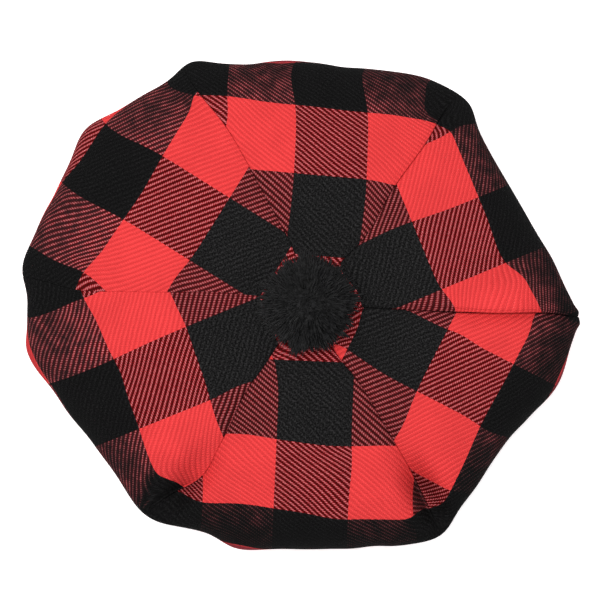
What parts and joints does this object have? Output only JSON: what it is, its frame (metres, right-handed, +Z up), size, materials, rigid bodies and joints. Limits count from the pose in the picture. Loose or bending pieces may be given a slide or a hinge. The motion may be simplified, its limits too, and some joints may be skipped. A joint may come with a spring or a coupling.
{
  "type": "tam o shanter",
  "caption": "Wide flat wool bonnet in a red and black check, gathered in gores to a plain black headband, with a black yarn pompom on the middle.",
  "frame": {"origin": "the middle of the hat's outline seen from above, on the surface that the headband stands on", "axes": "+Z up through the pompom; +X to the right and +Y away along the picture's top, as seen from above; X is the crown's longest way"},
  "size_m": [0.2924, 0.2539, 0.1068],
  "materials": {
    "check_wool": "matt twill weave, red and black check",
    "black_wool": "matt twill weave, black",
    "black_yarn": "cut yarn, black"
  },
  "bodies": {
    "root": {"gore_top": "check_wool", "gore_upper_right": "check_wool", "gore_lower_right": "check_wool", "gore_bottom": "check_wool", "gore_lower_left": "check_wool", "gore_upper_left": "check_wool", "headband": "black_wool", "pompom": "black_yarn"}
  },
  "joints": []
}
